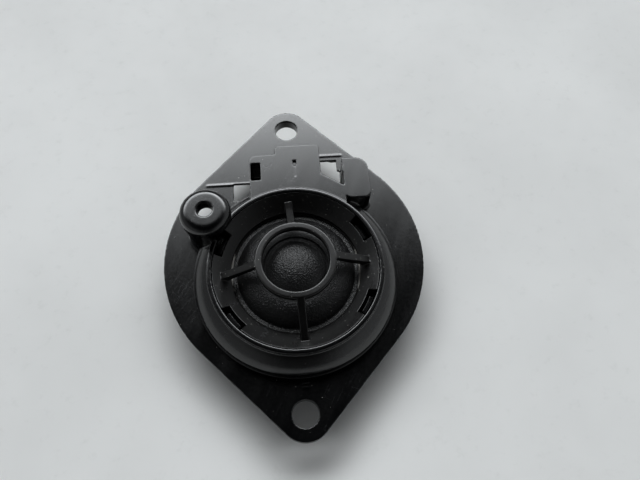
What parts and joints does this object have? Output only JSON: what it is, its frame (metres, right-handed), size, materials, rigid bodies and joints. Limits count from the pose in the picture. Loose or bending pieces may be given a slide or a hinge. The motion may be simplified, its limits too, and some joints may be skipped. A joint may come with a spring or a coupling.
{
  "type": "car tweeter",
  "caption": "Small treble loudspeaker for a car: a lozenge flange with a rounded bell, an open guard over a cloth dome, a hollow post and a plug socket.",
  "frame": {"origin": "back face of the flange, midway between the two screw holes", "axes": "+Z along the speaker axis, the way the sound leaves; +Y along the line of the screw holes, toward the side the plug socket faces"},
  "size_m": [0.067, 0.0912, 0.0241],
  "materials": {
    "black_moulding": "satin",
    "grille_moulding": "satin",
    "foam": "matte",
    "coated_cloth": "matte",
    "coil_film": "gloss",
    "copper_wire": "enamelled",
    "natural_plastic": "matte",
    "chassis_plastic": "matte",
    "felt": "matte",
    "zinc_steel": "zinc plated",
    "plated_magnet": "nickel plated",
    "brass": "satin",
    "red_insulation": "satin",
    "black_insulation": "satin",
    "board": "satin",
    "tin_plate": "tin plated",
    "solder": "satin",
    "can_metal": "satin",
    "sleeve": "gloss",
    "bung": "matte"
  },
  "bodies": {
    "housing": {"housing": "black_moulding", "grille": "grille_moulding", "front_gasket": "foam", "surround": "coated_cloth", "cloth_ring": "natural_plastic", "chassis": "chassis_plastic", "damping_pad": "felt", "pole_piece": "zinc_steel", "magnet": "plated_magnet", "yoke_cup": "zinc_steel", "coil_lead_left": "copper_wire", "coil_lead_right": "copper_wire", "eyelet_left": "brass", "eyelet_right": "brass", "lead_wire_left": "red_insulation", "lead_wire_right": "black_insulation", "circuit_board": "board", "pin_left": "tin_plate", "pin_right": "tin_plate", "solder_joints": "solder", "capacitor_can": "can_metal", "capacitor_sleeve": "sleeve", "capacitor_bung": "bung", "capacitor_leads": "tin_plate"},
    "diaphragm": {"dome": "coated_cloth", "coil_former": "coil_film", "coil_winding": "copper_wire"}
  },
  "joints": [
    {"name": "diaphragm_travel", "type": "slide", "parent": "housing", "child": "diaphragm", "axis": [0, 0, 1], "range_m": [-0.0004, 0.0004], "stiffness_N_per_m": 100, "deforming": ["surround", "coil_lead_left", "coil_lead_right"]}
  ]
}
